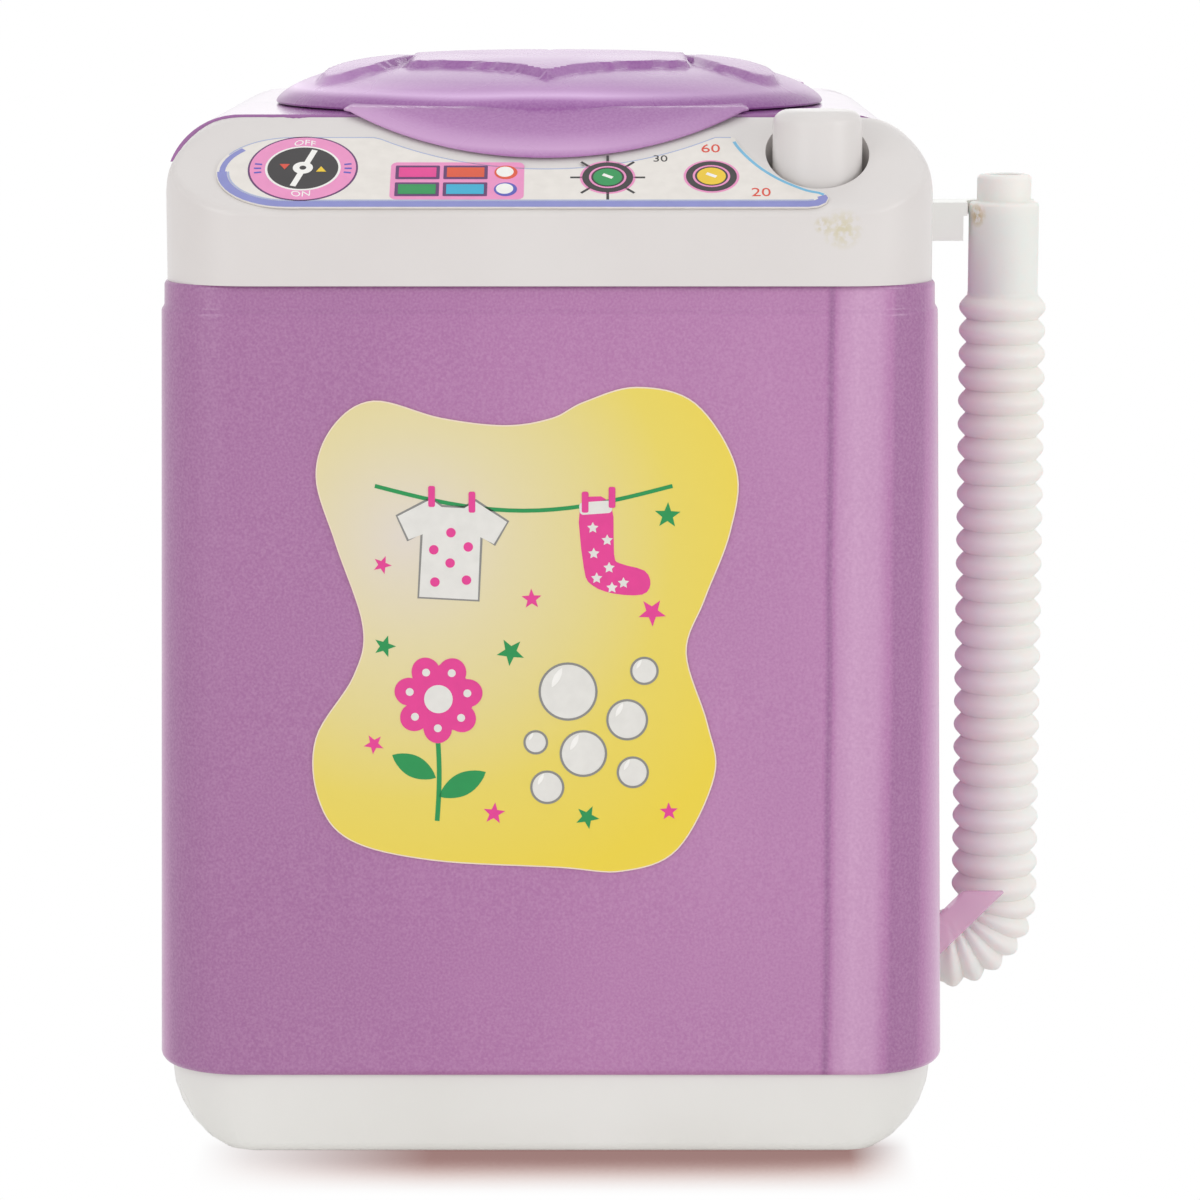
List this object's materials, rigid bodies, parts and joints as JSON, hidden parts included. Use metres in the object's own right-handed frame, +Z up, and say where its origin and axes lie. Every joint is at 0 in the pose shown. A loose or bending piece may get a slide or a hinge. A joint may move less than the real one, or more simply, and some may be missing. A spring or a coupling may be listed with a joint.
{
  "type": "toy washing machine",
  "caption": "Small battery toy washing machine with a sloped control panel, hinged round lid, push button, wash tub with a turning pulsator, and a ribbed drain hose on one side.",
  "frame": {"origin": "centre of the base's underside", "axes": "+Z up, the front with the control panel faces -Y, +X towards the side with the hose"},
  "size_m": [0.0978, 0.0848, 0.1152],
  "materials": {
    "white_plastic": "glossy moulded white plastic",
    "purple_plastic": "pearly moulded purple plastic",
    "lid_plastic": "glossy moulded purple plastic",
    "hose_plastic": "soft blow-moulded pinkish white plastic",
    "panel_print": "printed sticker",
    "front_print": "printed sticker",
    "steel": "plated steel",
    "dark_plastic": "black moulded plastic",
    "seal_rubber": "soft rubber",
    "cell_wrap": "wrapped dry cell",
    "red_lead": "red wire insulation",
    "black_lead": "black wire insulation"
  },
  "bodies": {
    "cabinet": {"base_tray": "white_plastic", "body_shell": "purple_plastic", "top_cover": "white_plastic", "top_deck": "lid_plastic", "wash_tub": "white_plastic", "shaft_seal": "seal_rubber", "motor_can": "steel", "motor_end_cap": "white_plastic", "motor_bracket": "steel", "bracket_screw_1": "steel", "bracket_screw_2": "steel", "tub_screw_1": "steel", "tub_screw_2": "steel", "tub_screw_3": "steel", "base_screw_1": "steel", "base_screw_2": "steel", "base_screw_3": "steel", "base_screw_4": "steel", "button_spring": "steel", "switch_body": "dark_plastic", "battery_1": "cell_wrap", "battery_2": "cell_wrap", "contact_plate_1": "steel", "contact_plate_2": "steel", "spring_plate_1": "steel", "spring_plate_2": "steel", "contact_spring_1": "steel", "contact_spring_2": "steel", "drain_pipe": "hose_plastic", "hose_elbow": "hose_plastic", "hose_hook": "white_plastic", "lead_battery_to_switch": "red_lead", "lead_switch_to_motor": "red_lead", "lead_motor_to_battery": "black_lead", "front_sticker": "front_print", "panel_sticker": "panel_print"},
    "lid": {"lid": "lid_plastic"},
    "button": {"power_button": "white_plastic"},
    "agitator": {"pulsator": "white_plastic", "pulsator_cap": "lid_plastic", "motor_shaft": "steel"},
    "door": {"battery_door": "white_plastic"},
    "hose": {"hose_upper": "hose_plastic"}
  },
  "joints": [
    {"name": "lid_hinge", "type": "hinge", "parent": "cabinet", "child": "lid", "pos_m": [0, 0.0366, 0.1119], "axis": [-1, 0, 0], "range_deg": [0, 105]},
    {"name": "button_press", "type": "slide", "parent": "cabinet", "child": "button", "axis": [0, 0, -1], "range_m": [0, 0.002], "stiffness_N_per_m": 150, "springref_m": -0.001, "deforming": ["button_spring"]},
    {"name": "agitator_spin", "type": "hinge", "parent": "cabinet", "child": "agitator", "pos_m": [-0.0004, 0.003, 0.0476], "axis": [0, 0, 1], "continuous": true},
    {"name": "door_slide", "type": "slide", "parent": "cabinet", "child": "door", "axis": [0, 1, 0], "range_m": [0, 0.034]},
    {"name": "hose_unhook", "type": "hinge", "parent": "cabinet", "child": "hose", "pos_m": [0.0508, -0.0049, 0.02403], "axis": [1, 0, 0], "range_deg": [0, 70]}
  ]
}
